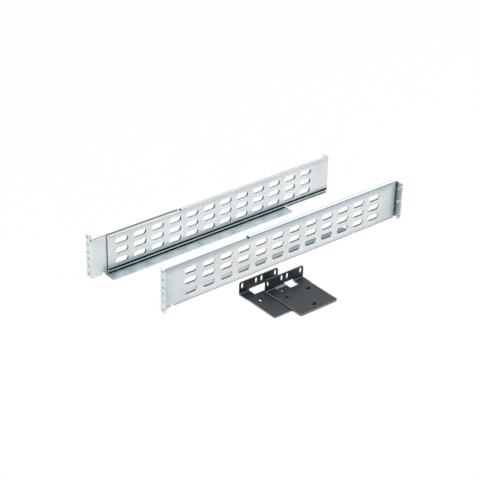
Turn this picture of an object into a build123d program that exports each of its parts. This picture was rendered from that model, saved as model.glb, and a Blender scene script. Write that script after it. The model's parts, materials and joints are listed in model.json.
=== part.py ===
from build123d import *
import os

# Pair of two-unit rack rails, shown fully collapsed, with two loose rack ears.
# Millimetres. +X runs along the rails from the front flanges to the rear ones,
# +Y points to the left rail and +Z is up. The origin is the middle of the
# footprint, on the surface that everything stands on.

# Rack grid: three holes in every rack unit
rack_units = 2
rack_unit = 44.45
unit_holes = (6.35, 22.225, 38.1)
grid_clearance = 0.8

# Sheet of both telescoping sections
sheet = 1.6
bend_inner = 1.0
rear_bend_inner = 2.0

# Front section: web, flange, lips and the shelf that carries the equipment
front_length = 562.0
web_height = 80.0
flange_reach = 14.0
flange_corner = 3.0
lip_depth = 7.5
top_lip_start = 196.5
top_relief_width = 3.0
shelf_start = 28.0
shelf_length = 427.0
shelf_depth = 30.0
shelf_front_corner = 3.5
shelf_rear_corner = 5.5
shelf_front_relief = 5.5
shelf_rear_relief = 4.0
relief_depth = 5.0

# Rear section: nests inside the front section and slides out of its rear end
nesting_clearance = 0.3
rear_start = 34.5
end_gap = 3.9
rear_lip_setback = 0.4
rear_lip_front_gap = 3.5
rear_lip_lift = 2.9
stop_tab_length = 6.0
stop_tab_slit = 1.5
rear_lip_end_gap = 4.5
rear_flange_corner = 2.0

# Obround slots, the same grid in both sections
slot_length = 28.0
slot_height = 12.0
slot_pitch = 40.0
slot_row_pitch = 20.6
slot_rows = 3
first_slot = 66.0
last_slot_margin = 36.0

# Clinch nuts with an M5 thread, pressed into the flanges
hole_offset = 7.7
nut_body_d = 8.6
nut_height = 2.9
nut_shank_d = 6.3
nut_bore_d = 4.3
nut_press_clearance = 0.03
nut_recess = 0.1

# Rack ears
ear_sheet = 2.0
ear_bend_inner = 1.0
ear_height = 25.7
ear_depth = 97.8
ear_flange_corner = 4.5
ear_plate_corner = 3.75
ear_shoulder_depth = 23.0
ear_shoulder_step = 1.3
ear_slot_length = 11.0
ear_slot_width = 5.5
ear_slot_height = 17.7
window_length = 44.0
window_height = 5.6
window_depth = 17.3
ear_hole_d = 5.0
ear_sink_d = 10.4
ear_sink_angle = 120.0
ear_hole_circle_d = 60.0
ear_hole_circle_y = 52.65

# How the pieces lie beside each other, from the left rail's front corner
pair_stagger = 36.0
pair_spacing = 163.0
lower_ear_x = 178.0
lower_ear_y = -204.0
upper_ear_x = 217.5
upper_ear_y = -228.0

# Values that follow
bend_outer = bend_inner + sheet
rear_bend_outer = rear_bend_inner + sheet
bottom_lip_start = shelf_start + shelf_length + shelf_rear_relief
flange_height = rack_units * rack_unit - grid_clearance
hole_heights = [unit * rack_unit + hole for unit in range(rack_units) for hole in unit_holes]
rear_hole_heights = hole_heights[0::2]
nest = sheet + nesting_clearance
rear_height = web_height - 2 * nest
rail_length = front_length + end_gap + sheet
slot_columns = int((front_length - first_slot - last_slot_margin) // slot_pitch) + 1
slot_middle = first_slot + (slot_columns - 1) * slot_pitch / 2
nut_hole_d = nut_shank_d + 2 * nut_press_clearance
ear_length = rack_units * rack_unit
ear_slot_stations = [
    unit * rack_unit + hole for unit in range(rack_units) for hole in unit_holes[0::2]
]

left_x = -(pair_stagger + rail_length) / 2
left_y = (ear_depth - upper_ear_y - flange_reach) / 2
right_x = left_x + pair_stagger
right_y = left_y - pair_spacing

os.makedirs("parts", exist_ok=True)


def web_plane(depth, height):
    """Outer face of a web, drawn along the rail and upwards, facing inward."""
    return Plane(origin=(left_x, left_y - depth, height), x_dir=(1, 0, 0), z_dir=(0, -1, 0))


def plan_plane(depth, height):
    """Plan view at a height, drawn along the rail and outward."""
    return Plane(origin=(left_x, left_y - depth, height), x_dir=(1, 0, 0), z_dir=(0, 0, 1))


def cross_plane(station, depth, height):
    """Cross-section at a station, drawn outward and upwards, facing the rear."""
    return Plane(
        origin=(left_x + station, left_y - depth, height), x_dir=(0, 1, 0), z_dir=(1, 0, 0)
    )


with BuildPart() as left_front_section:
    # Web with its bend strips left open and round-ended reliefs beside them
    with BuildSketch(web_plane(0, 0)):
        with Locations((bend_outer, 0)):
            Rectangle(front_length - bend_outer, web_height, align=(Align.MIN, Align.MIN))
        with Locations((top_lip_start, web_height)):
            Rectangle(
                front_length - top_lip_start,
                bend_outer,
                align=(Align.MIN, Align.MAX),
                mode=Mode.SUBTRACT,
            )
        with Locations((shelf_start, 0)):
            Rectangle(
                front_length - shelf_start,
                bend_outer,
                align=(Align.MIN, Align.MIN),
                mode=Mode.SUBTRACT,
            )
        with Locations((top_lip_start - top_relief_width / 2, web_height)):
            SlotOverall(2 * relief_depth, top_relief_width, rotation=90, mode=Mode.SUBTRACT)
        with Locations((shelf_start - shelf_front_relief / 2, 0)):
            SlotOverall(2 * relief_depth, shelf_front_relief, rotation=90, mode=Mode.SUBTRACT)
        with Locations((bottom_lip_start - shelf_rear_relief / 2, 0)):
            SlotOverall(2 * relief_depth, shelf_rear_relief, rotation=90, mode=Mode.SUBTRACT)
    extrude(amount=sheet)
    # Bend from the web out to the front flange
    with BuildSketch(plan_plane(0, 0)):
        with BuildLine():
            FilletPolyline(
                (2 * bend_outer, -sheet / 2),
                (sheet / 2, -sheet / 2),
                (sheet / 2, bend_outer),
                radius=bend_inner + sheet / 2,
            )
        trace(line_width=sheet)
    extrude(amount=web_height)
    # Front flange, taller than the web
    with BuildSketch(cross_plane(0, 0, 0)):
        with Locations((bend_inner, 0)):
            Rectangle(flange_reach - bend_inner, flange_height, align=(Align.MIN, Align.MIN))
        fillet(vertices().group_by(Axis.X)[-1], radius=flange_corner)
    extrude(amount=sheet)
    # Top lip
    with BuildSketch(cross_plane(top_lip_start, 0, 0)):
        with BuildLine():
            FilletPolyline(
                (-sheet / 2, web_height - 2 * bend_outer),
                (-sheet / 2, web_height - sheet / 2),
                (-lip_depth, web_height - sheet / 2),
                radius=bend_inner + sheet / 2,
            )
        trace(line_width=sheet)
    extrude(amount=front_length - top_lip_start)
    # Shelf
    with BuildSketch(cross_plane(shelf_start, 0, 0)):
        with BuildLine():
            FilletPolyline(
                (-sheet / 2, 2 * bend_outer),
                (-sheet / 2, sheet / 2),
                (-shelf_depth, sheet / 2),
                radius=bend_inner + sheet / 2,
            )
        trace(line_width=sheet)
    extrude(amount=shelf_length)
    shelf_corners = edges().filter_by(Axis.Z).group_by(Axis.Y)[0].sort_by(Axis.X)
    fillet(shelf_corners[0], radius=shelf_front_corner)
    shelf_corners = edges().filter_by(Axis.Z).group_by(Axis.Y)[0].sort_by(Axis.X)
    fillet(shelf_corners[-1], radius=shelf_rear_corner)
    # Bottom lip behind the shelf
    with BuildSketch(cross_plane(bottom_lip_start, 0, 0)):
        with BuildLine():
            FilletPolyline(
                (-sheet / 2, 2 * bend_outer),
                (-sheet / 2, sheet / 2),
                (-lip_depth, sheet / 2),
                radius=bend_inner + sheet / 2,
            )
        trace(line_width=sheet)
    extrude(amount=front_length - bottom_lip_start)
    # Slots
    with BuildSketch(web_plane(0, 0)):
        with Locations((slot_middle, web_height / 2)):
            with GridLocations(slot_pitch, slot_row_pitch, slot_columns, slot_rows):
                SlotOverall(slot_length, slot_height)
    extrude(amount=sheet, mode=Mode.SUBTRACT)
    # Holes for the clinch nuts
    with BuildSketch(cross_plane(0, 0, 0)):
        with Locations([(hole_offset, height) for height in hole_heights]):
            Circle(nut_hole_d / 2)
    extrude(amount=sheet, mode=Mode.SUBTRACT)
left_front_section.part.label = "left_front_section"
export_step(left_front_section.part, "parts/left_front_section.step")


with BuildPart() as left_rear_section:
    # Web, a nesting clearance inside the front section's web
    with BuildSketch(web_plane(nest, nest)):
        with Locations((rear_start, 0)):
            Rectangle(
                rail_length - rear_bend_outer - rear_start,
                rear_height,
                align=(Align.MIN, Align.MIN),
            )
        with Locations((rear_start + rear_lip_front_gap, 0)):
            Rectangle(
                rail_length - rear_start - rear_lip_front_gap,
                rear_lip_lift + rear_bend_outer,
                align=(Align.MIN, Align.MIN),
                mode=Mode.SUBTRACT,
            )
        with Locations((rear_start + rear_lip_front_gap, rear_height)):
            Rectangle(
                rail_length - rear_start - rear_lip_front_gap,
                rear_bend_outer,
                align=(Align.MIN, Align.MAX),
                mode=Mode.SUBTRACT,
            )
    extrude(amount=sheet)
    # Bottom and top lips
    with BuildSketch(cross_plane(rear_start + rear_lip_front_gap, nest, nest)):
        with BuildLine():
            FilletPolyline(
                (-sheet / 2, rear_lip_lift + 2 * rear_bend_outer),
                (-sheet / 2, rear_lip_lift + sheet / 2),
                (nest + rear_lip_setback - lip_depth, rear_lip_lift + sheet / 2),
                radius=rear_bend_inner + sheet / 2,
            )
        trace(line_width=sheet)
        with BuildLine():
            FilletPolyline(
                (-sheet / 2, rear_height - 2 * rear_bend_outer),
                (-sheet / 2, rear_height - sheet / 2),
                (nest + rear_lip_setback - lip_depth, rear_height - sheet / 2),
                radius=rear_bend_inner + sheet / 2,
            )
        trace(line_width=sheet)
    extrude(amount=rail_length - rear_lip_end_gap - rear_start - rear_lip_front_gap)
    # Slit that frees a stop tab at the front end of the bottom lip
    with BuildSketch(plan_plane(nest, nest + rear_lip_lift)):
        with Locations((rear_start + rear_lip_front_gap + stop_tab_length, 0)):
            Rectangle(stop_tab_slit, lip_depth, align=(Align.MIN, Align.MAX))
    extrude(amount=rear_bend_outer, mode=Mode.SUBTRACT)
    # Bend from the web out to the rear flange
    with BuildSketch(plan_plane(nest, nest)):
        with BuildLine():
            FilletPolyline(
                (rail_length - 2 * bend_outer, -sheet / 2),
                (rail_length - sheet / 2, -sheet / 2),
                (rail_length - sheet / 2, bend_outer),
                radius=bend_inner + sheet / 2,
            )
        trace(line_width=sheet)
    extrude(amount=rear_height)
    # Rear flange
    with BuildSketch(cross_plane(rail_length - sheet, nest, nest)):
        with Locations((bend_inner, 0)):
            Rectangle(
                flange_reach + nest - bend_inner, rear_height, align=(Align.MIN, Align.MIN)
            )
        fillet(vertices().group_by(Axis.X)[-1], radius=rear_flange_corner)
    extrude(amount=sheet)
    # Slots in line with those of the front section
    with BuildSketch(web_plane(nest, 0)):
        with Locations((slot_middle, web_height / 2)):
            with GridLocations(slot_pitch, slot_row_pitch, slot_columns, slot_rows):
                SlotOverall(slot_length, slot_height)
    extrude(amount=sheet, mode=Mode.SUBTRACT)
    # Holes for the clinch nuts
    with BuildSketch(cross_plane(rail_length - sheet, 0, 0)):
        with Locations([(hole_offset, height) for height in rear_hole_heights]):
            Circle(nut_hole_d / 2)
    extrude(amount=sheet, mode=Mode.SUBTRACT)
left_rear_section.part.label = "left_rear_section"
export_step(left_rear_section.part, "parts/left_rear_section.step")


# The right rail is the mirror image, set back by the stagger of the pair
pair_mirror = Plane(origin=(0, (left_y + right_y) / 2, 0), z_dir=(0, 1, 0))
right_side_shift = Location((pair_stagger, 0, 0))
mirrored_front = mirror(left_front_section.part, about=pair_mirror).moved(right_side_shift)
mirrored_rear = mirror(left_rear_section.part, about=pair_mirror).moved(right_side_shift)

with BuildPart() as right_front_section:
    add(mirrored_front)
right_front_section.part.label = "right_front_section"
export_step(right_front_section.part, "parts/right_front_section.step")

with BuildPart() as right_rear_section:
    add(mirrored_rear)
right_rear_section.part.label = "right_rear_section"
export_step(right_rear_section.part, "parts/right_rear_section.step")


# Clinch nuts: body on the inner side of each flange, shank in the sheet
for side, rail_x, hole_y in (
    ("left", left_x, left_y + hole_offset),
    ("right", right_x, right_y - hole_offset),
):
    for end, seat_x, facing, heights in (
        ("front", rail_x + sheet, 1, hole_heights),
        ("rear", rail_x + rail_length - sheet, -1, rear_hole_heights),
    ):
        for number, height in enumerate(heights, start=1):
            nut_name = f"{side}_{end}_nut_{number}"
            seat = Plane(origin=(seat_x, hole_y, height), z_dir=(facing, 0, 0))
            with BuildPart() as clinch_nut:
                with BuildSketch(seat):
                    Circle(nut_body_d / 2)
                    Circle(nut_bore_d / 2, mode=Mode.SUBTRACT)
                extrude(amount=nut_height)
                with BuildSketch(seat):
                    Circle(nut_shank_d / 2)
                    Circle(nut_bore_d / 2, mode=Mode.SUBTRACT)
                extrude(amount=nut_recess - sheet)
            clinch_nut.part.label = nut_name
            export_step(clinch_nut.part, f"parts/{nut_name}.step")


# Rack ears: an angle with a slotted flange, a window across the bend and a
# plate with three countersunk holes. One lies flat, the other on top of it.
for ear_name, ear_x, ear_y, ear_z in (
    ("lower_rack_ear", left_x + lower_ear_x, left_y + lower_ear_y, 0.0),
    ("upper_rack_ear", left_x + upper_ear_x, left_y + upper_ear_y, ear_sheet),
):
    ear_section = Plane(origin=(ear_x, ear_y, ear_z), x_dir=(0, 1, 0), z_dir=(1, 0, 0))
    ear_plan = Plane(origin=(ear_x, ear_y, ear_z), x_dir=(1, 0, 0), z_dir=(0, 0, 1))
    ear_front = Plane(origin=(ear_x, ear_y, ear_z), x_dir=(1, 0, 0), z_dir=(0, -1, 0))
    with BuildPart() as rack_ear:
        with BuildSketch(ear_section):
            with BuildLine():
                FilletPolyline(
                    (-ear_depth, ear_sheet / 2),
                    (-ear_sheet / 2, ear_sheet / 2),
                    (-ear_sheet / 2, ear_height),
                    radius=ear_bend_inner + ear_sheet / 2,
                )
            trace(line_width=ear_sheet)
        extrude(amount=ear_length)
        # Plate a step narrower in front of its shoulders
        with BuildSketch(ear_plan):
            with Locations((0, -ear_depth), (ear_length - ear_shoulder_step, -ear_depth)):
                Rectangle(
                    ear_shoulder_step,
                    ear_depth - ear_shoulder_depth,
                    align=(Align.MIN, Align.MIN),
                )
        extrude(amount=ear_sheet, mode=Mode.SUBTRACT)
        fillet(edges().filter_by(Axis.Z).group_by(Axis.Y)[0], radius=ear_plate_corner)
        fillet(edges().filter_by(Axis.Y).group_by(Axis.Z)[-1], radius=ear_flange_corner)
        # Window through the flange, the bend and the plate
        with BuildSketch(ear_plan):
            with Locations((ear_length / 2, 0)):
                Rectangle(window_length, window_depth, align=(Align.CENTER, Align.MAX))
        extrude(amount=window_height, mode=Mode.SUBTRACT)
        # Slots on the rack grid
        with BuildSketch(ear_front):
            with Locations(
                [(station, ear_slot_height) for station in ear_slot_stations]
            ):
                SlotOverall(ear_slot_length, ear_slot_width, rotation=90)
        extrude(amount=ear_sheet, mode=Mode.SUBTRACT)
        # Countersunk holes on a bolt circle
        circle_centre = (ear_x + ear_length / 2, ear_y - ear_hole_circle_y, ear_z + ear_sheet)
        with Locations(circle_centre):
            with PolarLocations(ear_hole_circle_d / 2, 3, start_angle=-90, rotate=False):
                CounterSinkHole(
                    ear_hole_d / 2,
                    ear_sink_d / 2,
                    depth=2 * ear_sheet,
                    counter_sink_angle=ear_sink_angle,
                )
    rack_ear.part.label = ear_name
    export_step(rack_ear.part, f"parts/{ear_name}.step")
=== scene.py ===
# %% [markdown]
# # A pair of telescoping rack rails and two rack ears
# Each rail is two nested channels of bent, zinc-plated sheet steel. The outer
# channel has a shelf that carries the equipment, the inner one slides out of
# its rear end, and both have rows of obround slots. Two black angle brackets
# lie in front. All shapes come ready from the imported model, in metres, so this
# lesson is about finishes, light and the small turned nuts.

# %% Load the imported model
import json
import math
from types import SimpleNamespace

import bmesh
import bpy
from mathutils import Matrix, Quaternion, Vector


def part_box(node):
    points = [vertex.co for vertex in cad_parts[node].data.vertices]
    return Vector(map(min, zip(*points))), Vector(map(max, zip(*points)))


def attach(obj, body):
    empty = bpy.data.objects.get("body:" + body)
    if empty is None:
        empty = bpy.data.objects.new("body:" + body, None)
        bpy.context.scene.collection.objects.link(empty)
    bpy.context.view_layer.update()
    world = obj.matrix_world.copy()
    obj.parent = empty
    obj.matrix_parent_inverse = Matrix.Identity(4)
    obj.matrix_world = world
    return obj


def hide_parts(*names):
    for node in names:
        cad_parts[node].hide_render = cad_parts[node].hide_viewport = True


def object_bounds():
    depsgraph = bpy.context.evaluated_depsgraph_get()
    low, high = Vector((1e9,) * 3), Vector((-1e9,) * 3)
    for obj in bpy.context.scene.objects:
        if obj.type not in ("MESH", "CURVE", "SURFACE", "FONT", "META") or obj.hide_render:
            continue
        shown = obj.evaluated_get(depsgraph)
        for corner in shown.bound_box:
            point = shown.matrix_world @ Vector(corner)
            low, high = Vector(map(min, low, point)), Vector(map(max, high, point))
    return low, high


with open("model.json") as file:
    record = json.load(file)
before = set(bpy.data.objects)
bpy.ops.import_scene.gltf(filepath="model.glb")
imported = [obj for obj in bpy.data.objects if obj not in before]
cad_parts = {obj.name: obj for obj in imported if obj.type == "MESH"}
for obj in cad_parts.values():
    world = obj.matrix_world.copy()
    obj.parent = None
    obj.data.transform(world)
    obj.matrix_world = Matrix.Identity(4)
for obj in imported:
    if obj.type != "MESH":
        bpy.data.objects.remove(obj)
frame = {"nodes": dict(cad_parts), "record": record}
cad_low, cad_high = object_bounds()
print("box in mm", [round(1000 * (high - low), 1) for low, high in zip(cad_low, cad_high)])

# %% [markdown]
# ## Colours and nodes
# Colours are written as hex values, the way a colour picker shows them. The
# renderer works with linear light, so one function turns them. A second small
# function adds a shader node with its settings and links. Each input may be a
# plain value, a hex colour or another node's output, which keeps the finishes
# below readable from top to bottom.

# %% Colour conversion and one node helper
MM = 0.001


def linear(hex_colour):
    """An sRGB hex colour as linear red, green, blue and alpha."""
    channels = [int(hex_colour[i : i + 2], 16) / 255 for i in (1, 3, 5)]
    return tuple(c / 12.92 if c <= 0.04045 else ((c + 0.055) / 1.055) ** 2.4 for c in channels) + (1.0,)


def add_node(tree, kind, inputs=None, **settings):
    """Adds a node; an input is a plain value, a hex colour or another node's output."""
    node = tree.nodes.new(kind)
    for name, value in settings.items():
        setattr(node, name, value)
    for name, value in (inputs or {}).items():
        if isinstance(value, bpy.types.NodeSocket):
            tree.links.new(value, node.inputs[name])
        elif isinstance(value, str):
            node.inputs[name].default_value = linear(value)
        else:
            node.inputs[name].default_value = value
    return node


def new_finish(name):
    """An empty material with nodes, and its node tree."""
    material = bpy.data.materials.new(name)
    material.use_nodes = True
    material.node_tree.nodes.clear()
    return material, material.node_tree


print("pale zinc grey", [round(c, 3) for c in linear("#D5DADC")])

# %% [markdown]
# ## Masks
# A mask is a value between 0 and 1 that picks out a zone of a surface. The
# zones here are boxes in the rails' own measures, so one helper tests whether
# values lie between limits, and two more join masks. Painted textures would do
# the same, but a box moves with the piece, stays sharp at any distance and can
# be changed in millimetres.

# %% Zones and how they join
FAR = 1.0


def all_of(tree, *masks):
    """The masks multiplied: 1 only where every one of them is 1."""
    result = masks[0]
    for mask in masks[1:]:
        step = add_node(tree, "ShaderNodeMath", {0: result, 1: mask}, operation="MULTIPLY")
        result = step.outputs["Value"]
    return result


def any_of(tree, *masks):
    """The largest of the masks: 1 where at least one of them is 1."""
    result = masks[0]
    for mask in masks[1:]:
        step = add_node(tree, "ShaderNodeMath", {0: result, 1: mask}, operation="MAXIMUM")
        result = step.outputs["Value"]
    return result


def inside(tree, *limits):
    """1 where every value lies between its two limits, 0 elsewhere."""
    tests = []
    for value, low, high in limits:
        middle_and_reach = {0: value, 1: (low + high) / 2, 2: (high - low) / 2}
        test = add_node(tree, "ShaderNodeMath", middle_and_reach, operation="COMPARE")
        tests.append(test.outputs["Value"])
    return all_of(tree, *tests)


print("open-ended limits reach", FAR, "m")

# %% [markdown]
# ## Soft masks and coats of colour
# Wear and stains have soft borders, so a second kind of mask eases in and out,
# and cloudy patches come from noise whose scale is set by a real size. Colours
# are then laid over a ground colour one after the other, each through its
# mask, as coats of paint are.


# %% Soft borders, patches and coats
def eased(tree, value, start, finish):
    """Rises smoothly from 0 to 1; falls when the start is the larger value."""
    limits = {"Value": value, "From Min": start, "From Max": finish}
    curve = add_node(tree, "ShaderNodeMapRange", limits, interpolation_type="SMOOTHSTEP")
    return curve.outputs["Result"]


def patches(tree, place, size, detail, roughness, low, high):
    """Cloudy patches about the given size across; the limits set how soft they are."""
    cloud = add_node(
        tree,
        "ShaderNodeTexNoise",
        {"Vector": place, "Scale": 1 / size, "Detail": detail, "Roughness": roughness},
    )
    return eased(tree, cloud.outputs["Fac"], low, high)


def paint(tree, ground, *coats):
    """Lays coats over a ground colour; each coat is a mask and a colour."""
    for mask, colour in coats:
        layer = {"Factor": mask, "A": ground, "B": colour}
        ground = add_node(tree, "ShaderNodeMix", layer, data_type="RGBA").outputs["Result"]
    return ground


CLOUDS = {"size": 40 * MM, "detail": 3.0, "roughness": 0.55, "low": 0.35, "high": 0.65}
print("clouds in the zinc", round(1000 * CLOUDS["size"]), "mm across")

# %% [markdown]
# ## Where the webs are
# The finish follows the way the sheet was worked: cut edges are bare steel,
# inner bends hold dark oil, outer bends are burnished. Three distances tell
# these places apart: how deep a point lies behind the outer face of its rail's
# web, how high it is, and its station, the distance from the rail's front end.
# The boxes of the nodes give where each web stands and which way it looks. The
# sizes written out are those of the bent sheet itself.

# %% Measure the rails
SHEET = 1.6 * MM
NEST = 1.9 * MM
FLANGE_REACH = 14.0 * MM
left_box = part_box("left_front_section")
right_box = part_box("right_front_section")
RAIL_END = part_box("left_rear_section")[1][0] - left_box[0][0]
LEFT = {"side": "left", "web": left_box[1][1] - FLANGE_REACH, "turn": -1, "start": left_box[0][0]}
RIGHT = {"side": "right", "web": right_box[0][1] + FLANGE_REACH, "turn": 1, "start": right_box[0][0]}
for rail in (LEFT, RIGHT):
    print(rail["side"], "web face", round(rail["web"], 4), "front end", round(rail["start"], 4))


# %% A new sheet finish that knows its places
def sheet_spot(name, rail, outer_depth):
    """A material for one section, with its places and facings as outputs."""
    material, tree = new_finish(name)
    coordinates = add_node(tree, "ShaderNodeTexCoord").outputs
    place = add_node(tree, "ShaderNodeSeparateXYZ", {"Vector": coordinates["Object"]}).outputs
    facing = add_node(tree, "ShaderNodeSeparateXYZ", {"Vector": coordinates["Normal"]}).outputs
    behind_web = {0: place["Y"], 1: rail["turn"], 2: -rail["turn"] * rail["web"]}
    depth = add_node(tree, "ShaderNodeMath", behind_web, operation="MULTIPLY_ADD")
    from_start = {0: place["X"], 1: rail["start"]}
    station = add_node(tree, "ShaderNodeMath", from_start, operation="SUBTRACT")
    sideways = add_node(tree, "ShaderNodeMath", {0: facing["Y"]}, operation="ABSOLUTE")
    endways = add_node(tree, "ShaderNodeMath", {0: facing["X"]}, operation="ABSOLUTE")
    return SimpleNamespace(
        material=material,
        tree=tree,
        side=rail["side"],
        is_rear=outer_depth > 0,
        outer=outer_depth,
        inner=outer_depth + SHEET,
        point=coordinates["Object"],
        height=place["Z"],
        depth=depth.outputs["Value"],
        station=station.outputs["Value"],
        sideways=sideways.outputs["Value"],
        endways=endways.outputs["Value"],
        upward=facing["Z"],
    )


print("the rear section's web starts", round(1000 * NEST, 1), "mm deep")

# %% [markdown]
# ## Sheared edges, painted in light and shade
# The slots were punched after plating, so their walls are bare steel, and
# their tint is painted light and shade: on the left rail their ends are
# painted in shade and their lower walls half in shade, on the right rail
# their lower walls are painted in shade and their ends lit. A wall looks
# along or up, never sideways, and lies within the thickness of its web. The
# long top edge of the front section's web was cut the same way, and it is
# painted dark, partly as bare steel and partly as painted shade. On the left
# rail it is painted dark only behind the rear section.

# %% Slot walls and the top edge
WEB_TOP = 80.0 * MM
RIM_HEIGHT = WEB_TOP - NEST
REAR_START = 34.5 * MM
TOP_LIP_START = 196.5 * MM
LIP_NOTCH = 4.0 * MM
SKIN = 0.05 * MM
SLOT_HEIGHTS = (9.0 * MM, 71.0 * MM)
EDGE_ON = 0.3
DARK_EDGE_FROM = {"left": REAR_START, "right": 0.0}


def slot_walls(spot):
    """Walls of the slots and of the web's ends, clear of the long bends."""
    return inside(
        spot.tree,
        (spot.depth, spot.outer - 2 * SKIN, spot.inner + 2 * SKIN),
        (spot.sideways, -EDGE_ON, EDGE_ON),
        (spot.height, *SLOT_HEIGHTS),
    )


def top_edge(spot):
    """The edge along the top of the web, ahead of the top lip; painted dark as bare steel and painted
    shade.
    """
    return inside(
        spot.tree,
        (spot.depth, spot.outer + SKIN, spot.inner + 2 * SKIN),
        (spot.station, DARK_EDGE_FROM[spot.side], TOP_LIP_START - LIP_NOTCH),
        (spot.height, RIM_HEIGHT + SKIN, FAR),
    )


print("walls between", [round(1000 * height) for height in SLOT_HEIGHTS], "mm up")

# %% [markdown]
# ## Painted shade in the bends
# Shade is painted dark into the inner bends of the rear section, onto the
# shelf beside that section's lip, around its front end and into the front
# corner. The bend of the rear flange is painted the darkest, because no light
# reaches into it.

# %% Where the painted shade sits
REAR_LIP_EDGE = 7.1 * MM
REAR_LIP_LIFT = 2.9 * MM
REAR_FOOT = NEST + REAR_LIP_LIFT
SHELF_END = 460.0 * MM
# Painted shade colours, and the darkest one for the bend of the rear flange
CREVICE_SHADE = "#1C2A2D"
DEEP_BEND_SHADE = "#070C0D"


def flange_bend(spot):
    """The inner bend between the rear section's web and its flange."""
    return inside(
        spot.tree,
        (spot.station, RAIL_END - 3.9 * MM, RAIL_END - SHEET - 0.1 * MM),
        (spot.depth, -0.3 * MM, spot.outer + SKIN),
    )


def rear_crevice_shade(spot):
    """The long inner bend above the shelf, and the bend of the flange."""
    long_bend = inside(
        spot.tree,
        (spot.height, REAR_FOOT + SHEET, REAR_FOOT + 4.1 * MM),
        (spot.depth, spot.inner - 0.02 * MM, spot.inner + 1.9 * MM),
    )
    return any_of(spot.tree, long_bend, flange_bend(spot))


def front_crevice_shade(spot):
    """The shelf beside the rear lip, that section's front end, and the front corner."""
    shade_under_lip = inside(
        spot.tree,
        (spot.depth, spot.inner + 0.5 * MM, REAR_LIP_EDGE + 0.6 * MM),
        (spot.height, SHEET - 0.1 * MM, SHEET + 2.0 * MM),
        (spot.station, REAR_START, SHELF_END),
    )
    shade_at_rear_end = inside(
        spot.tree,
        (spot.depth, spot.inner - SKIN, spot.inner + SKIN),
        (spot.station, REAR_START - 1.2 * MM, REAR_START),
    )
    corner = inside(
        spot.tree,
        (spot.depth, -1.5 * MM, SKIN),
        (spot.station, SHEET + SKIN, 3.2 * MM),
    )
    return any_of(spot.tree, shade_under_lip, shade_at_rear_end, corner)


# Painted shade on the shelf beside the rear lip reaches this far
print("painted_shade on the shelf up to", round(1000 * SHELF_END), "mm")

# %% [markdown]
# ## Lips
# The tops of the lips get a painted highlight, as light from above. The
# outer edge of their bend and the front lip's sheared margin are painted as
# fine grey lines of shade, and the cut end of the front section's lip as a
# dark mark of shade. The rear section's lip, and the strip of web that it
# covers, are painted white as a highlight, and the rear lip is matte.

# %% Lips and the covered strip
# Painted highlight on the lip tops and the covered strip, and painted shade lines along the bends
HIGHLIGHT_WHITE = "#FEFEFE"
LIP_HIGHLIGHT = "#E9EFF0"
LIP_BAND = (WEB_TOP - 3 * MM, FAR)
REAR_LIP_UP = (0.3, 0.6)
FRONT_LIP_UP = (0.7, 0.95)
BEND_SHADE_LINE = {"left": "#4C666F", "right": "#8CA0A6"}
BEND_REACH = {"left": 3.2 * MM, "right": SHEET}


def lip_tops(spot):
    """The upper faces of the top lip."""
    limits = REAR_LIP_UP if spot.is_rear else FRONT_LIP_UP
    band = inside(spot.tree, (spot.height, *LIP_BAND))
    return all_of(spot.tree, band, eased(spot.tree, spot.upward, *limits))


def lip_shade_lines(spot):
    """The outer edge of the top bend, and the front lip's sheared margin, as painted lines of shade."""
    reach = SHEET if spot.is_rear else BEND_REACH[spot.side]
    bend = inside(spot.tree, (spot.depth, -SKIN, reach), (spot.height, *LIP_BAND))
    if spot.is_rear:
        return bend
    margin = inside(
        spot.tree,
        (spot.depth, REAR_LIP_EDGE - 0.8 * MM, REAR_LIP_EDGE + 0.5 * MM),
        (spot.height, *LIP_BAND),
    )
    return any_of(spot.tree, bend, margin)


def lip_end(spot):
    """The cut end where the front section's top lip starts."""
    return inside(
        spot.tree,
        (spot.station, TOP_LIP_START - 1.0 * MM, TOP_LIP_START + 2.0 * MM),
        (spot.height, *LIP_BAND),
    )


def covered_strip_highlight(spot):
    """The strip of the front web behind the rear section's lip, painted white as a highlight."""
    return inside(
        spot.tree,
        (spot.height, WEB_TOP - 6 * MM, RIM_HEIGHT),
        (spot.depth, spot.inner - SKIN, spot.inner + SKIN),
        (spot.station, REAR_START, TOP_LIP_START),
    )


print("lip marks from", round(1000 * LIP_BAND[0]), "mm up")

# %% [markdown]
# ## Painted shade along the web
# A grey-blue painted shade, partly a painted reflection of the shelf, runs
# along the top, the sole and the ends of the web. It fades over one or two
# centimetres, and it is wider at the foot of the web towards the front. It is
# painted on the two faces of the web only.

# %% Painted shade along the bends
FRONT_LENGTH = 562.0 * MM
# Colour and share of the painted shade along the web
WEB_SHADE = "#7B9AA2"
WEB_SHADE_SHARE = 0.75


def outer_face_shade(spot):
    """Painted shade on the outer face: along its top, its sole and both ends."""
    tree = spot.tree
    head = all_of(tree, eased(tree, spot.height, WEB_TOP - 17 * MM, WEB_TOP), 0.75)
    tail = eased(tree, spot.station, RAIL_END - 20 * MM, RAIL_END - 4 * MM)
    nose = all_of(tree, eased(tree, spot.station, 12 * MM, 3 * MM), 0.3)
    sole = all_of(tree, eased(tree, spot.height, 9 * MM, 0.0), 0.5)
    return any_of(tree, head, tail, nose, sole)


def inner_face_shade(spot):
    """Painted shade on the inner face, above the foot; it starts past the front flange."""
    foot = REAR_FOOT + 2 * MM
    fade_height = add_node(
        spot.tree,
        "ShaderNodeMapRange",
        {
            "Value": spot.station,
            "From Max": FRONT_LENGTH,
            "To Min": foot + 20 * MM,
            "To Max": foot + 11 * MM,
        },
    ).outputs["Result"]
    edge_shade_band = eased(spot.tree, spot.height, fade_height, foot)
    if spot.is_rear:
        return edge_shade_band
    return all_of(spot.tree, edge_shade_band, eased(spot.tree, spot.station, 14 * MM, REAR_START))


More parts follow.
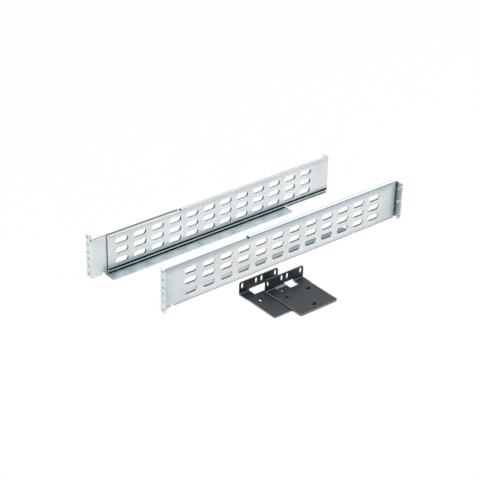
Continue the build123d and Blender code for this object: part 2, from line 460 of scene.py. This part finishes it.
def painted_edge_shade(spot):
    """Both painted shades, each on its own face of the web."""
    on_outer = inside(spot.tree, (spot.depth, spot.outer - SKIN, spot.outer + SKIN))
    on_inner = inside(spot.tree, (spot.depth, spot.inner - SKIN, spot.inner + SKIN))
    return any_of(
        spot.tree,
        all_of(spot.tree, on_inner, inner_face_shade(spot)),
        all_of(spot.tree, on_outer, outer_face_shade(spot)),
    )


print("film share", WEB_SHADE_SHARE)

# %% [markdown]
# ## Tints of the webs
# The flat webs are a pale, rather dull grey with cloudy patches a few
# centimetres wide. A painted sheen makes them lighter in the middle of the
# rail than at its ends, and each rail's tints are set for the light it gets.
# The near web also mirrors the black ears beside it, so its tint is lifted
# there to keep the even grey that a real room would give it.

# %% Web tints
# Each rail's tints are set for the light it gets: painted light and shade
WEB_ENDS = {"left": ("#E1E5E7", "#ECEEEF"), "right": ("#CFD5D8", "#DADFE1")}
WEB_MIDDLE = {"left": ("#F1F4F7", "#FAFBFD"), "right": ("#E2E5E6", "#E9EBEC")}
WEB_LIFT = {"left": "#F4F7F9", "right": "#FCFDFD"}
END_FADE = {"left": (70 * MM, 170 * MM), "right": (20 * MM, 110 * MM)}


def web_tint(spot, clouds):
    """The colour of the flat web."""
    tree = spot.tree
    # Painted sheen: the middle of the rail is painted lighter than its ends
    middle = all_of(
        tree,
        eased(tree, spot.station, *END_FADE[spot.side]),
        eased(tree, spot.station, RAIL_END, RAIL_END - 90 * MM),
    )
    by_ears = all_of(
        tree,
        eased(tree, spot.station, 90 * MM, 190 * MM),
        eased(tree, spot.station, 300 * MM, 220 * MM),
    )
    end_dim, end_bright = WEB_ENDS[spot.side]
    middle_dim, middle_bright = WEB_MIDDLE[spot.side]
    ends = paint(tree, end_dim, (clouds, end_bright))
    centre = paint(tree, middle_dim, (clouds, middle_bright), (by_ears, WEB_LIFT[spot.side]))
    return paint(tree, ends, (middle, centre))


print("web tints", WEB_ENDS["left"], WEB_MIDDLE["left"])

# %% [markdown]
# ## Tints of shelf, bends and lips
# The shelf is broad and smooth, and its zinc has blotches a centimetre or two
# across. Along the rail its tint is painted light and shade: lighter in the
# middle on the left rail, and darker towards the rear on the right one, seen
# through the slots. Everything else that was bent is a touch paler. The
# painted highlight and shade of the top lip are laid over it.

# %% Bent tints
BENT_DIM = "#DDE5E7"
BENT_BRIGHT = "#E9EFF1"
# Shelf tints and their fades along the rail: painted light and shade
SHELF_TINTS = {"left": ("#DCEAEE", "#EAF4F6"), "right": ("#D3DCDE", "#7C949B")}
SHELF_LIGHT_FADES = {
    "left": ((60 * MM, 200 * MM), (440 * MM, 300 * MM)),
    "right": ((40 * MM, 440 * MM),),
}
BLOTCHES = {"size": 16 * MM, "detail": 3.0, "roughness": 0.6, "low": 0.45, "high": 0.7}
BLOTCH = "#94B0B7"
BLOTCH_SHARE = 0.35


def shelf_zone(spot):
    """Everything that reaches further in than the lips do."""
    return inside(spot.tree, (spot.depth, REAR_LIP_EDGE + 0.8 * MM, FAR))


def bent_tint(spot, clouds, tops):
    """The colour of the shelf, the flanges, the bends and the lips, with painted light and shade."""
    tree = spot.tree
    fades = [eased(tree, spot.station, *fade) for fade in SHELF_LIGHT_FADES[spot.side]]
    shelf_dim, shelf_bright = SHELF_TINTS[spot.side]
    blotches = patches(tree, spot.point, **BLOTCHES)
    shelf = paint(
        tree,
        shelf_dim,
        (all_of(tree, *fades), shelf_bright),
        (all_of(tree, blotches, BLOTCH_SHARE), BLOTCH),
    )
    # Painted highlight on the lip tops, painted shade on the bend lines and the lip's cut end
    return paint(
        tree,
        BENT_DIM,
        (clouds, BENT_BRIGHT),
        (shelf_zone(spot), shelf),
        (tops, HIGHLIGHT_WHITE if spot.is_rear else LIP_HIGHLIGHT),
        (lip_shade_lines(spot), BEND_SHADE_LINE[spot.side]),
        (lip_end(spot), CREVICE_SHADE),
    )


print("blotches", round(1000 * BLOTCHES["size"]), "mm across")

# %% [markdown]
# ## Metal and gloss
# The passivated web is dull enough to look like grey paint with some metal in
# it. The bends and lips, which the tools slid over, mirror the room. The shelf
# and the flanges lie between: broad faces blur what they mirror. The default
# IOR is kept, as for any metal.

# %% Metal share and roughness
FLAT_ON = (0.9, 0.99)
WEB_METAL = {"left": 0.35, "right": 0.12}
WEB_ROUGHNESS = 0.46
BEND_ROUGHNESS = 0.26
BROAD_EXTRA = 0.16
CLOUD_EXTRA = 0.06
MATTE_LIP = -0.9


def metal_share(spot, dull, tops):
    """How much of the surface mirrors as metal does."""
    limits = {"Value": dull, "To Min": 1.0, "To Max": WEB_METAL[spot.side]}
    share = add_node(spot.tree, "ShaderNodeMapRange", limits).outputs["Result"]
    if spot.is_rear:
        less_on_lip = {0: tops, 1: MATTE_LIP, 2: share}
        share = add_node(
            spot.tree, "ShaderNodeMath", less_on_lip, operation="MULTIPLY_ADD", use_clamp=True
        ).outputs["Value"]
    return share


def sheet_roughness(spot, dull, clouds):
    """Smooth bends, blurred broad faces and a dull, slightly cloudy web."""
    tree = spot.tree
    broad = any_of(tree, shelf_zone(spot), eased(tree, spot.endways, *FLAT_ON))
    bend = {0: broad, 1: BROAD_EXTRA, 2: BEND_ROUGHNESS}
    bend = add_node(tree, "ShaderNodeMath", bend, operation="MULTIPLY_ADD").outputs["Value"]
    limits = {"Value": dull, "To Min": bend, "To Max": WEB_ROUGHNESS}
    base = add_node(tree, "ShaderNodeMapRange", limits).outputs["Result"]
    cloudy = {0: clouds, 1: CLOUD_EXTRA, 2: base}
    return add_node(tree, "ShaderNodeMath", cloudy, operation="MULTIPLY_ADD").outputs["Value"]


print("web roughness", WEB_ROUGHNESS, "bend roughness", BEND_ROUGHNESS)

# %% [markdown]
# ## Zinc-plated sheet
# The rails are punched and bent from pre-plated, clear passivated steel sheet.
# Over the tints come rolling lines along the sheet, which are a millimetre or
# two apart, and the grain of the zinc. Then comes painted light and shade:
# shade along the web's edges, in the bends and beside the rear lip, a painted
# highlight on the covered strip, the dark top edge and the lit and shaded
# walls of the slots. A slight unevenness of the plating, under a millimetre
# across, is drawn as bump because it has no shape of its own.

# %% Lines and grain
LINES = {"size": 1.5 * MM, "detail": 2.0, "roughness": 0.5, "low": 0.3, "high": 0.7}
LINE_STRETCH = (0.03, 1.0, 1.0)
LINE_TINT = "#9FAEB2"
LINE_SHARE = 0.05
GRAIN = {"size": 2.2 * MM, "detail": 3.0, "roughness": 0.6, "low": 0.4, "high": 0.7}
GRAIN_TINT = "#8E9DA2"
GRAIN_SHARE = 0.16
TOOTH = 0.9 * MM
# Dark tint of the web's top edge: bare steel and painted shade
RIM_SHADE = "#5A757D"


def rolled_grain(spot):
    """Two coats: long rolling lines, and the grain of the zinc."""
    tree = spot.tree
    stretched = {"Vector": spot.point, "Scale": LINE_STRETCH}
    along = add_node(tree, "ShaderNodeMapping", stretched).outputs["Vector"]
    lines = all_of(tree, patches(tree, along, **LINES), LINE_SHARE)
    grain = all_of(tree, patches(tree, spot.point, **GRAIN), GRAIN_SHARE)
    return (lines, LINE_TINT), (grain, GRAIN_TINT)


def plating_relief(spot):
    """The normal of slightly uneven plating."""
    uneven = {"Vector": spot.point, "Scale": 1 / TOOTH, "Detail": 2.0, "Roughness": 0.5}
    tooth = add_node(spot.tree, "ShaderNodeTexNoise", uneven).outputs["Fac"]
    bump = {"Height": tooth, "Strength": 0.06, "Distance": 0.05 * MM}
    return add_node(spot.tree, "ShaderNodeBump", bump).outputs["Normal"]


print("rolling lines", round(1000 * LINES["size"], 1), "mm apart")


# %% The finish of one section
def plated_sheet(name, rail, outer_depth, end_wall_lighting, low_wall_lighting):
    """Zinc-plated sheet whose web starts at a depth behind the front web face."""
    spot = sheet_spot(name, rail, outer_depth)
    tree = spot.tree
    clouds = patches(tree, spot.point, **CLOUDS)
    dull = eased(tree, spot.sideways, *FLAT_ON)
    tops = lip_tops(spot)
    # The slot walls' tint is painted light and shade, set by which way a wall looks
    slot_wall_shading = paint(tree, low_wall_lighting, (eased(tree, spot.endways, 0.35, 0.85), end_wall_lighting))
    # Painted shade in the bends and beside the rear lip, painted highlight on the covered strip
    if spot.is_rear:
        painted_light_marks = ((rear_crevice_shade(spot), CREVICE_SHADE), (flange_bend(spot), DEEP_BEND_SHADE))
    else:
        painted_light_marks = ((front_crevice_shade(spot), CREVICE_SHADE), (covered_strip_highlight(spot), HIGHLIGHT_WHITE))
    # Painted shade and highlight come after the rolling lines and grain
    colour = paint(
        tree,
        bent_tint(spot, clouds, tops),
        (dull, web_tint(spot, clouds)),
        *rolled_grain(spot),
        (all_of(tree, painted_edge_shade(spot), WEB_SHADE_SHARE), WEB_SHADE),
        *painted_light_marks,
        (top_edge(spot), RIM_SHADE),
        (slot_walls(spot), slot_wall_shading),
    )
    surface = add_node(
        tree,
        "ShaderNodeBsdfPrincipled",
        {
            "Base Color": colour,
            "Metallic": metal_share(spot, dull, tops),
            "Roughness": sheet_roughness(spot, dull, clouds),
            "Normal": plating_relief(spot),
        },
    )
    add_node(tree, "ShaderNodeOutputMaterial", {"Surface": surface.outputs["BSDF"]})
    return spot.material


# Painted light and shade on the slot walls: the left rail's ends in shade, the right rail's lower walls
# in shade and its ends lit
CUT_IN_SHADE = "#0B191D"
CUT_IN_HALF_SHADE = "#74817F"
CUT_IN_LIGHT = "#B4BCBE"
left_cut_lighting = (CUT_IN_SHADE, CUT_IN_HALF_SHADE)
right_cut_lighting = (CUT_IN_LIGHT, CUT_IN_SHADE)
sheet_finishes = {
    "left_front_section": plated_sheet("plated_sheet_left_front", LEFT, 0.0, *left_cut_lighting),
    "left_rear_section": plated_sheet("plated_sheet_left_rear", LEFT, NEST, *left_cut_lighting),
    "right_front_section": plated_sheet("plated_sheet_right_front", RIGHT, 0.0, *right_cut_lighting),
    "right_rear_section": plated_sheet("plated_sheet_right_rear", RIGHT, NEST, *right_cut_lighting),
}
print("sheet finishes", len(sheet_finishes))

# %% [markdown]
# ## Turned and plated nut steel
# The clinch nuts are turned from harder steel and plated in a drum, so they
# are a little darker and smoother than the sheet. Fine turning rings are too
# small to show; a light speckle breaks up the gloss.

# %% Plated nut steel
NUT_SPECKLE = 0.6 * MM
nut_steel, tree = new_finish("plated_nut_steel")
point = add_node(tree, "ShaderNodeTexCoord").outputs["Object"]
speckle = add_node(
    tree,
    "ShaderNodeTexNoise",
    {"Vector": point, "Scale": 1 / NUT_SPECKLE, "Detail": 3.0},
).outputs["Fac"]
nut_roughness = add_node(
    tree,
    "ShaderNodeMapRange",
    {"Value": speckle, "To Min": 0.2, "To Max": 0.36},
)
surface = add_node(
    tree,
    "ShaderNodeBsdfPrincipled",
    {
        "Base Color": paint(tree, "#B4BEC1", (speckle, "#D0D7D9")),
        "Metallic": 1.0,
        "Roughness": nut_roughness.outputs["Result"],
    },
)
add_node(tree, "ShaderNodeOutputMaterial", {"Surface": surface.outputs["BSDF"]})
print("nut nodes", len(tree.nodes))

# %% [markdown]
# ## Black powder coat
# The ears are powder coated: a baked polyester skin with a fine orange-peel
# texture about half a millimetre across, drawn a little coarser so that it
# shows. It is almost black, but the texture spreads the light, so a face that
# mirrors a bright wall turns dark grey. Hollows, such as the gap between the
# two ears and the countersinks, get painted shade: an occlusion test blackens
# the coat's colour there, and the countersink cones are painted black.

# %% Powder coat and its hollows
EAR_SHEET = 2.0 * MM
DUST_SIZE = 18 * MM
HOLLOW_REACH = 7 * MM
HOLLOW_DEPTH = 1.7
SINK_UP = (0.82, 0.92)
powder, tree = new_finish("black_powder_coat")
coordinates = add_node(tree, "ShaderNodeTexCoord").outputs
point = coordinates["Object"]
place = add_node(tree, "ShaderNodeSeparateXYZ", {"Vector": point}).outputs
facing = add_node(tree, "ShaderNodeSeparateXYZ", {"Vector": coordinates["Normal"]}).outputs
dust = add_node(
    tree,
    "ShaderNodeTexNoise",
    {"Vector": point, "Scale": 1 / DUST_SIZE, "Detail": 4.0},
).outputs["Fac"]
hollow = add_node(tree, "ShaderNodeAmbientOcclusion", {"Distance": HOLLOW_REACH}, samples=12)
openness = {0: hollow.outputs["AO"], 1: HOLLOW_DEPTH}
openness = add_node(tree, "ShaderNodeMath", openness, operation="POWER").outputs["Value"]
# The cone of a countersink leans by 30 degrees; the bend does too, but never looks along
endways = add_node(tree, "ShaderNodeMath", {0: facing["X"]}, operation="ABSOLUTE").outputs["Value"]
in_sink = inside(tree, (facing["Z"], *SINK_UP), (endways, 0.02, FAR))
fresh_coat = paint(tree, "#191F24", (dust, "#263037"))
# Painted shade: the coat is blackened where the occlusion test finds a hollow, and in the countersink
# cones
coat_with_painted_light = paint(tree, "#030404", (openness, fresh_coat), (in_sink, "#010202"))
print("cone faces look up by", SINK_UP)

# %% [markdown]
# ## Painted highlights and shade on the ears' edges
# The upper edges of the plates get a painted grey highlight. The Bevel node
# finds them: where its rounded normal turns away from the flat one, a point
# lies close to an edge. The sides of the plates are painted black as shade,
# apart from a painted pale highlight along their upper part. The bend between
# flange and plate gets a painted highlight, and so does the strip of the
# lower ear that is seen through the window of the upper one.

# %% Edges, bend and the strip in the window
HIGHLIGHT_REACH = 2.0 * MM
WINDOW_LENGTH = 44.0 * MM
LIT_REACH = 4.4 * MM
flat = add_node(tree, "ShaderNodeNewGeometry").outputs["Normal"]
rounded = add_node(tree, "ShaderNodeBevel", {"Radius": HIGHLIGHT_REACH}, samples=8).outputs["Normal"]
edge_turn = add_node(tree, "ShaderNodeVectorMath", {0: rounded, 1: flat}, operation="DOT_PRODUCT")
by_edge = eased(tree, edge_turn.outputs["Value"], 0.998, 0.92)
on_top = inside(tree, (facing["Z"], 0.95, 1 + FAR))
# Painted highlight along the upper edges of the plates
edge_highlight = all_of(tree, on_top, by_edge, eased(tree, openness, 0.3, 0.7))
plate_side = all_of(tree, inside(tree, (facing["Z"], -0.3, 0.3)), by_edge)
in_plate = {0: place["Z"], 1: EAR_SHEET}
in_plate = add_node(tree, "ShaderNodeMath", in_plate, operation="FLOORED_MODULO").outputs["Value"]
upper_part = inside(tree, (place["Z"], -FAR, 2 * EAR_SHEET), (in_plate, 0.55 * EAR_SHEET, FAR))
arris = all_of(tree, plate_side, upper_part)
in_bend = inside(
    tree,
    (facing["Y"], -1 - FAR, -0.25),
    (facing["Z"], 0.25, 1 + FAR),
    (facing["X"], -0.05, 0.05),
)
lower_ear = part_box("lower_rack_ear")
upper_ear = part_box("upper_rack_ear")
window_start = (upper_ear[0][0] + upper_ear[1][0] - WINDOW_LENGTH) / 2
lit_strip = inside(
    tree,
    (place["X"], window_start, lower_ear[1][0]),
    (place["Y"], upper_ear[1][1] - LIT_REACH, upper_ear[1][1] + EAR_SHEET),
    (place["Z"], EAR_SHEET - 2 * SKIN, EAR_SHEET + 2 * SKIN),
)
# Painted highlights on the edges, the upper sides, the bend and the window strip; painted shade on the
# plate sides
coat_with_painted_light = paint(
    tree,
    coat_with_painted_light,
    (edge_highlight, "#69757B"),
    (plate_side, "#030405"),
    (arris, "#AEBABF"),
    (in_bend, "#7C868A"),
    (lit_strip, "#8A9296"),
)
print("window from", round(1000 * window_start, 1), "mm")

# %% Gloss and orange peel
PEEL_SIZE = 0.7 * MM
EDGE_ROUND = 0.8 * MM
SINK_EXTRA = 0.4
coat_roughness = {"Value": dust, "To Min": 0.4, "To Max": 0.55}
coat_roughness = add_node(tree, "ShaderNodeMapRange", coat_roughness).outputs["Result"]
coat_roughness = {0: in_sink, 1: SINK_EXTRA, 2: coat_roughness}
coat_roughness = add_node(tree, "ShaderNodeMath", coat_roughness, operation="MULTIPLY_ADD")
soft_edge = add_node(tree, "ShaderNodeBevel", {"Radius": EDGE_ROUND}, samples=8)
peel = add_node(
    tree,
    "ShaderNodeTexNoise",
    {"Vector": point, "Scale": 1 / PEEL_SIZE, "Detail": 2.0, "Roughness": 0.6},
)
peel_relief = add_node(
    tree,
    "ShaderNodeBump",
    {
        "Height": peel.outputs["Fac"],
        "Strength": 0.35,
        "Distance": 0.12 * MM,
        "Normal": soft_edge.outputs["Normal"],
    },
)
surface = add_node(
    tree,
    "ShaderNodeBsdfPrincipled",
    {
        "Base Color": coat_with_painted_light,
        "Roughness": coat_roughness.outputs["Value"],
        "IOR": 1.52,
        "Normal": peel_relief.outputs["Normal"],
    },
)
add_node(tree, "ShaderNodeOutputMaterial", {"Surface": surface.outputs["BSDF"]})
print("powder nodes", len(tree.nodes))

# %% [markdown]
# ## Dress the model
# Each node of the model names a material slot in the record. The shapes are
# right as they come, so only their material slots change.

# %% Give every node its finish
finishes = {"nut_steel": nut_steel, "black_powder_coat": powder}
slot_of = {part["node"]: part["material_slot"] for part in frame["record"]["subparts"]}
for name, node in frame["nodes"].items():
    node.data.materials.clear()
    node.data.materials.append(sheet_finishes.get(name) or finishes[slot_of[name]])
print("dressed", len(slot_of))

# %% [markdown]
# ## Clinch nuts
# The model's nuts are plain rings. Close up, a clinch nut is turned from bar:
# it has a chamfered rim, a narrower shank that is pressed into the sheet, and
# an M5 thread. A closed profile is drawn as radius and height above the sheet,
# and a full spin makes the solid. The thread is drawn as rings, because its
# slope over one turn is less than a millimetre.

# %% Profile of a nut
BODY_RADIUS = 4.3 * MM
BODY_HEIGHT = 2.9 * MM
SHANK_RADIUS = 3.15 * MM
SHANK_LENGTH = 1.5 * MM
CREST = 2.15 * MM
ROOT = 2.45 * MM
NUT_CHAMFER = 0.35 * MM
THREAD_PITCH = 0.8 * MM


def nut_profile():
    """The closed outline of half a nut as (radius, height) pairs."""
    outline = [
        (BODY_RADIUS - NUT_CHAMFER, BODY_HEIGHT),
        (BODY_RADIUS, BODY_HEIGHT - NUT_CHAMFER),
        (BODY_RADIUS, 0.0),
        (SHANK_RADIUS, 0.0),
        (SHANK_RADIUS, -SHANK_LENGTH),
        (ROOT, -SHANK_LENGTH),
    ]
    height = -SHANK_LENGTH + NUT_CHAMFER
    while height + THREAD_PITCH < BODY_HEIGHT:
        outline.append((CREST, height))
        outline.append((ROOT, height + THREAD_PITCH / 2))
        height += THREAD_PITCH
    outline.append((CREST, BODY_HEIGHT - NUT_CHAMFER))
    outline.append((ROOT, BODY_HEIGHT))
    return outline


print("profile points", len(nut_profile()))

# %% [markdown]
# ## Turning the nuts
# Each nut takes the place of its plain ring. The box of the ring gives the
# nut's axis and its seat: the front nuts stand behind the front flange and
# look to the rear, the rear ones stand the other way round. Spinning in place
# keeps the object at the origin, as the other pieces are.

# %% Turn the nuts
NUT_STEPS = 36
CREASE = math.radians(35)
WELD = 0.001 * MM


def turned_nut(node_name, body, finish):
    """A turned nut in the place of a plain one."""
    low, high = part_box(node_name)
    away = 1 if "_front_" in node_name else -1
    seat_x = high[0] - BODY_HEIGHT if away > 0 else low[0] + BODY_HEIGHT
    centre = Vector((seat_x, (low[1] + high[1]) / 2, (low[2] + high[2]) / 2))
    shape = bmesh.new()
    ring = [
        shape.verts.new(centre + Vector((away * height, radius, 0.0)))
        for radius, height in nut_profile()
    ]
    edges = [shape.edges.new(pair) for pair in zip(ring, ring[1:] + ring[:1])]
    bmesh.ops.spin(
        shape,
        geom=ring + edges,
        cent=centre,
        axis=(1, 0, 0),
        angle=math.tau,
        steps=NUT_STEPS,
        use_merge=True,
    )
    bmesh.ops.remove_doubles(shape, verts=shape.verts, dist=WELD)
    bmesh.ops.recalc_face_normals(shape, faces=shape.faces)
    mesh = bpy.data.meshes.new("turned_" + node_name)
    shape.to_mesh(mesh)
    shape.free()
    mesh.shade_smooth()
    mesh.set_sharp_from_angle(angle=CREASE)
    mesh.materials.append(finish)
    nut = bpy.data.objects.new("turned_" + node_name, mesh)
    bpy.context.scene.collection.objects.link(nut)
    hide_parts(node_name)
    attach(nut, body)
    return nut


body_of = {
    name: body for body, names in frame["record"]["behaviour"]["bodies"].items() for name in names
}
turned = [
    turned_nut(name, body_of[name], nut_steel) for name in sorted(slot_of) if "_nut_" in name
]
print("turned nuts", len(turned), "faces each", len(turned[0].data.polygons))

# %% [markdown]
# ## Floor
# The set lies on plain white with hardly any shadow. The floor is a large pale
# sheet. To the camera and in reflections most of its white comes from a little
# glow, so it stays white at any light level, while the rest is an ordinary
# matte surface. To all other rays it is only matte, so it adds no light of its
# own to the rails. Close under the pieces the glow fades, which leaves a thin
# contact shade, and under the raised plate of the upper ear it is gone.

# %% White floor
CONTACT_REACH = 5 * MM
EAR_EDGE = 5 * MM
WINDOW_REACH = 22 * MM
GLOW_MOST = 0.97
paper, tree = new_finish("white_paper_floor")
place = add_node(tree, "ShaderNodeTexCoord").outputs["Object"]
place = add_node(tree, "ShaderNodeSeparateXYZ", {"Vector": place}).outputs
contact = add_node(tree, "ShaderNodeAmbientOcclusion", {"Distance": CONTACT_REACH}, samples=8)
open_air = eased(tree, contact.outputs["AO"], 0.15, 0.62)
under_ear = inside(
    tree,
    (place["X"], upper_ear[0][0] + EAR_EDGE, upper_ear[1][0] - EAR_EDGE),
    (place["Y"], upper_ear[0][1] + EAR_EDGE, upper_ear[1][1] - WINDOW_REACH),
)
lit = add_node(
    tree, "ShaderNodeMath", {0: open_air, 1: under_ear}, operation="SUBTRACT", use_clamp=True
).outputs["Value"]
rays = add_node(tree, "ShaderNodeLightPath").outputs
seen = {0: rays["Is Camera Ray"], 1: rays["Is Glossy Ray"]}
seen = add_node(tree, "ShaderNodeMath", seen, operation="ADD", use_clamp=True).outputs["Value"]
matte = add_node(tree, "ShaderNodeBsdfDiffuse", {"Color": paint(tree, "#141616", (lit, "#F4F5F5"))})
glow = add_node(tree, "ShaderNodeEmission", {"Color": "#FFFFFF", "Strength": 1.0})
floor_mix = add_node(tree, "ShaderNodeMixShader", {"Fac": all_of(tree, seen, lit, GLOW_MOST)})
tree.links.new(matte.outputs["BSDF"], floor_mix.inputs[1])
tree.links.new(glow.outputs["Emission"], floor_mix.inputs[2])
add_node(tree, "ShaderNodeOutputMaterial", {"Surface": floor_mix.outputs["Shader"]})
print("floor nodes", len(tree.nodes))

# %% Lay the floor
FLOOR_HALF = 6.0
FLOOR_DROP = 0.05 * MM
paper_shape = bmesh.new()
bmesh.ops.create_grid(paper_shape, x_segments=1, y_segments=1, size=FLOOR_HALF)
bmesh.ops.translate(paper_shape, vec=(0, 0, cad_low[2] - FLOOR_DROP), verts=paper_shape.verts)
floor_mesh = bpy.data.meshes.new("floor")
paper_shape.to_mesh(floor_mesh)
paper_shape.free()
floor = bpy.data.objects.new("floor", floor_mesh)
bpy.context.scene.collection.objects.link(floor)
floor_mesh.materials.append(paper)
print("floor laid", 2 * FLOOR_HALF, "m wide")

# %% [markdown]
# ## Studio walls
# A white room lights everything softly. Plated steel is a dull mirror, so what
# it shows is the room: white walls behind the rails, and the dimmer side of
# the studio behind the camera, which gives the shelf its grey-blue. Straight
# overhead the room is dimmer too. Mirroring rays see this room, the camera
# sees plain white, and all other rays get an even fill, so that the light on
# the pieces doesn't depend on what they mirror.

# %% World
DIM_SIDE = "#52686D"
FILL_STRENGTH = 0.55
world = bpy.data.worlds.new("studio")
bpy.context.scene.world = world
world.use_nodes = True
tree = world.node_tree
tree.nodes.clear()
direction = add_node(tree, "ShaderNodeTexCoord").outputs["Generated"]
toward = add_node(tree, "ShaderNodeSeparateXYZ", {"Vector": direction}).outputs
to_back = {"Value": toward["Y"], "From Min": -0.5, "From Max": 0.15}
to_back = add_node(tree, "ShaderNodeMapRange", to_back).outputs["Result"]
wall_light = {"Value": to_back, "To Min": 1.0, "To Max": 1.3}
wall_light = add_node(tree, "ShaderNodeMapRange", wall_light).outputs["Result"]
overhead = {"Value": toward["Z"], "From Min": 0.75, "From Max": 1.0, "To Min": 1.0, "To Max": 0.25}
overhead = add_node(tree, "ShaderNodeMapRange", overhead).outputs["Result"]
room = {
    "Color": paint(tree, DIM_SIDE, (to_back, "#FFFFFF")),
    "Strength": all_of(tree, wall_light, overhead),
}
room = add_node(tree, "ShaderNodeBackground", room)
fill = add_node(tree, "ShaderNodeBackground", {"Color": "#FFFFFF", "Strength": FILL_STRENGTH})
backdrop = add_node(tree, "ShaderNodeBackground", {"Color": "#FFFFFF", "Strength": 1.0})
rays = add_node(tree, "ShaderNodeLightPath").outputs
unseen = add_node(tree, "ShaderNodeMixShader", {"Fac": rays["Is Glossy Ray"]})
tree.links.new(fill.outputs["Background"], unseen.inputs[1])
tree.links.new(room.outputs["Background"], unseen.inputs[2])
whole = add_node(tree, "ShaderNodeMixShader", {"Fac": rays["Is Camera Ray"]})
tree.links.new(unseen.outputs["Shader"], whole.inputs[1])
tree.links.new(backdrop.outputs["Background"], whole.inputs[2])
add_node(tree, "ShaderNodeOutputWorld", {"Surface": whole.outputs["Shader"]})
print("world nodes", len(tree.nodes))

# %% [markdown]
# ## Lamps
# Two large soft lamps add direction: a key from the upper left in front, and a
# weaker one from the right. Their watts keep the palest zinc just below white.


# %% Two soft lamps
def soft_lamp(name, position, size, watts):
    """A square area lamp that looks at the middle of the set."""
    lamp_data = bpy.data.lights.new(name, "AREA")
    lamp_data.shape = "SQUARE"
    lamp_data.size = size
    lamp_data.energy = watts
    lamp = bpy.data.objects.new(name, lamp_data)
    lamp.location = position
    lamp.rotation_euler = (-Vector(position)).to_track_quat("-Z", "Y").to_euler()
    bpy.context.scene.collection.objects.link(lamp)
    return lamp


lamps = [
    soft_lamp("key", (-1.2, -1.2, 2.0), 1.4, 32.0),
    soft_lamp("fill", (1.8, -0.6, 1.4), 1.6, 14.0),
]
print("lamps", [(lamp.name, lamp.data.energy) for lamp in lamps])

# %% [markdown]
# ## Camera
# The slots give the camera: their spacing shrinks evenly along both rails, and
# a fit to their centres gives the direction, the distance and the lens.

# %% Camera at the photograph's viewing angle
PHOTO_WIDTH = 480
FOCAL_PIXELS = 1463.5
SENSOR_WIDTH = 36.0
DISTANCE = 2695.8 * MM
azimuth = math.radians(39.4)
elevation = math.radians(29.86)
roll = math.radians(1.25)
target = Vector((-43.42, 49.75, 40.0)) * MM
camera_data = bpy.data.cameras.new("camera")
camera_data.sensor_width = SENSOR_WIDTH
camera_data.lens = SENSOR_WIDTH * FOCAL_PIXELS / PHOTO_WIDTH
camera_data.clip_end = 50.0
camera = bpy.data.objects.new("camera", camera_data)
bpy.context.scene.collection.objects.link(camera)
look = Vector(
    (
        math.sin(azimuth) * math.cos(elevation),
        math.cos(azimuth) * math.cos(elevation),
        -math.sin(elevation),
    )
)
camera.location = target - look * DISTANCE
aim = look.to_track_quat("-Z", "Y") @ Quaternion((0, 0, 1), roll)
camera.rotation_euler = aim.to_euler()
bpy.context.scene.camera = camera
bpy.context.scene.view_settings.view_transform = "Standard"
print("camera lens", round(camera_data.lens, 2))
